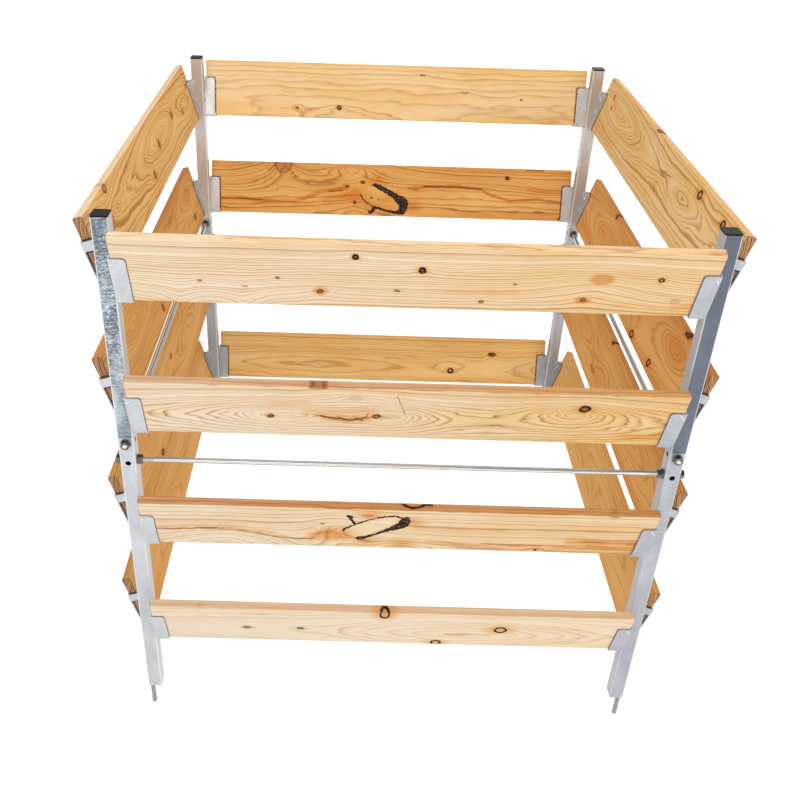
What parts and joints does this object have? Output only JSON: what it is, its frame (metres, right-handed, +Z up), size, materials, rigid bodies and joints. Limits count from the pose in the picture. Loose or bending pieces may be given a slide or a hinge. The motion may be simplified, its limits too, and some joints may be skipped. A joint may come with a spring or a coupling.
{
  "type": "metal compost bin",
  "caption": "Open square compost bin: galvanised square-tube corner posts with welded pockets that hold outward-slanting wooden boards, tie rods and ground spikes.",
  "frame": {"origin": "middle of the bin's square, level with the tips of the ground spikes", "axes": "+X to the right, +Y to the rear, +Z up; the front side of the picture faces -Y"},
  "size_m": [1.138, 1.138, 1.1827],
  "materials": {
    "galvanised_steel": "hot-dip zinc, dull, light grey",
    "weathered_galvanised_steel": "hot-dip zinc with a blue-grey spangle",
    "zinc_fasteners": "bright zinc plate",
    "black_plastic": "moulded, satin",
    "softwood": "sawn and planed, untreated"
  },
  "bodies": {
    "post_frame": {"front_left_ground_spike": "zinc_fasteners", "front_left_lower_post": "galvanised_steel", "front_left_post_connector": "galvanised_steel", "front_left_upper_post": "weathered_galvanised_steel", "front_left_cap": "black_plastic", "front_right_ground_spike": "zinc_fasteners", "front_right_lower_post": "galvanised_steel", "front_right_post_connector": "galvanised_steel", "front_right_upper_post": "weathered_galvanised_steel", "front_right_cap": "black_plastic", "rear_right_ground_spike": "zinc_fasteners", "rear_right_lower_post": "galvanised_steel", "rear_right_post_connector": "galvanised_steel", "rear_right_upper_post": "weathered_galvanised_steel", "rear_right_cap": "black_plastic", "rear_left_ground_spike": "zinc_fasteners", "rear_left_lower_post": "galvanised_steel", "rear_left_post_connector": "galvanised_steel", "rear_left_upper_post": "weathered_galvanised_steel", "rear_left_cap": "black_plastic", "front_tie_rod": "zinc_fasteners", "front_rod_nut_1": "zinc_fasteners", "front_rod_nut_2": "zinc_fasteners", "front_rod_nut_3": "zinc_fasteners", "front_rod_nut_4": "zinc_fasteners", "right_tie_rod": "zinc_fasteners", "right_rod_nut_1": "zinc_fasteners", "right_rod_nut_2": "zinc_fasteners", "right_rod_nut_3": "zinc_fasteners", "right_rod_nut_4": "zinc_fasteners", "rear_tie_rod": "zinc_fasteners", "rear_rod_nut_1": "zinc_fasteners", "rear_rod_nut_2": "zinc_fasteners", "rear_rod_nut_3": "zinc_fasteners", "rear_rod_nut_4": "zinc_fasteners", "left_tie_rod": "zinc_fasteners", "left_rod_nut_1": "zinc_fasteners", "left_rod_nut_2": "zinc_fasteners", "left_rod_nut_3": "zinc_fasteners", "left_rod_nut_4": "zinc_fasteners"},
    "front_board_1": {"front_board_1": "softwood"},
    "front_board_2": {"front_board_2": "softwood"},
    "front_board_3": {"front_board_3": "softwood"},
    "front_board_4": {"front_board_4": "softwood"},
    "right_board_1": {"right_board_1": "softwood"},
    "right_board_2": {"right_board_2": "softwood"},
    "right_board_3": {"right_board_3": "softwood"},
    "right_board_4": {"right_board_4": "softwood"},
    "rear_board_1": {"rear_board_1": "softwood"},
    "rear_board_2": {"rear_board_2": "softwood"},
    "rear_board_3": {"rear_board_3": "softwood"},
    "rear_board_4": {"rear_board_4": "softwood"},
    "left_board_1": {"left_board_1": "softwood"},
    "left_board_2": {"left_board_2": "softwood"},
    "left_board_3": {"left_board_3": "softwood"},
    "left_board_4": {"left_board_4": "softwood"}
  },
  "joints": [
    {"name": "front_board_1_lift", "type": "slide", "parent": "post_frame", "child": "front_board_1", "axis": [0, -0.2924, 0.9563], "range_m": [0, 0.1]},
    {"name": "front_board_2_lift", "type": "slide", "parent": "post_frame", "child": "front_board_2", "axis": [0, -0.2924, 0.9563], "range_m": [0, 0.1]},
    {"name": "front_board_3_lift", "type": "slide", "parent": "post_frame", "child": "front_board_3", "axis": [0, -0.2924, 0.9563], "range_m": [0, 0.1]},
    {"name": "front_board_4_lift", "type": "slide", "parent": "post_frame", "child": "front_board_4", "axis": [0, -0.2924, 0.9563], "range_m": [0, 0.1]},
    {"name": "right_board_1_lift", "type": "slide", "parent": "post_frame", "child": "right_board_1", "axis": [0.2924, 0, 0.9563], "range_m": [0, 0.1]},
    {"name": "right_board_2_lift", "type": "slide", "parent": "post_frame", "child": "right_board_2", "axis": [0.2924, 0, 0.9563], "range_m": [0, 0.1]},
    {"name": "right_board_3_lift", "type": "slide", "parent": "post_frame", "child": "right_board_3", "axis": [0.2924, 0, 0.9563], "range_m": [0, 0.1]},
    {"name": "right_board_4_lift", "type": "slide", "parent": "post_frame", "child": "right_board_4", "axis": [0.2924, 0, 0.9563], "range_m": [0, 0.1]},
    {"name": "rear_board_1_lift", "type": "slide", "parent": "post_frame", "child": "rear_board_1", "axis": [0, 0.2924, 0.9563], "range_m": [0, 0.1]},
    {"name": "rear_board_2_lift", "type": "slide", "parent": "post_frame", "child": "rear_board_2", "axis": [0, 0.2924, 0.9563], "range_m": [0, 0.1]},
    {"name": "rear_board_3_lift", "type": "slide", "parent": "post_frame", "child": "rear_board_3", "axis": [0, 0.2924, 0.9563], "range_m": [0, 0.1]},
    {"name": "rear_board_4_lift", "type": "slide", "parent": "post_frame", "child": "rear_board_4", "axis": [0, 0.2924, 0.9563], "range_m": [0, 0.1]},
    {"name": "left_board_1_lift", "type": "slide", "parent": "post_frame", "child": "left_board_1", "axis": [-0.2924, 0, 0.9563], "range_m": [0, 0.1]},
    {"name": "left_board_2_lift", "type": "slide", "parent": "post_frame", "child": "left_board_2", "axis": [-0.2924, 0, 0.9563], "range_m": [0, 0.1]},
    {"name": "left_board_3_lift", "type": "slide", "parent": "post_frame", "child": "left_board_3", "axis": [-0.2924, 0, 0.9563], "range_m": [0, 0.1]},
    {"name": "left_board_4_lift", "type": "slide", "parent": "post_frame", "child": "left_board_4", "axis": [-0.2924, 0, 0.9563], "range_m": [0, 0.1]}
  ]
}
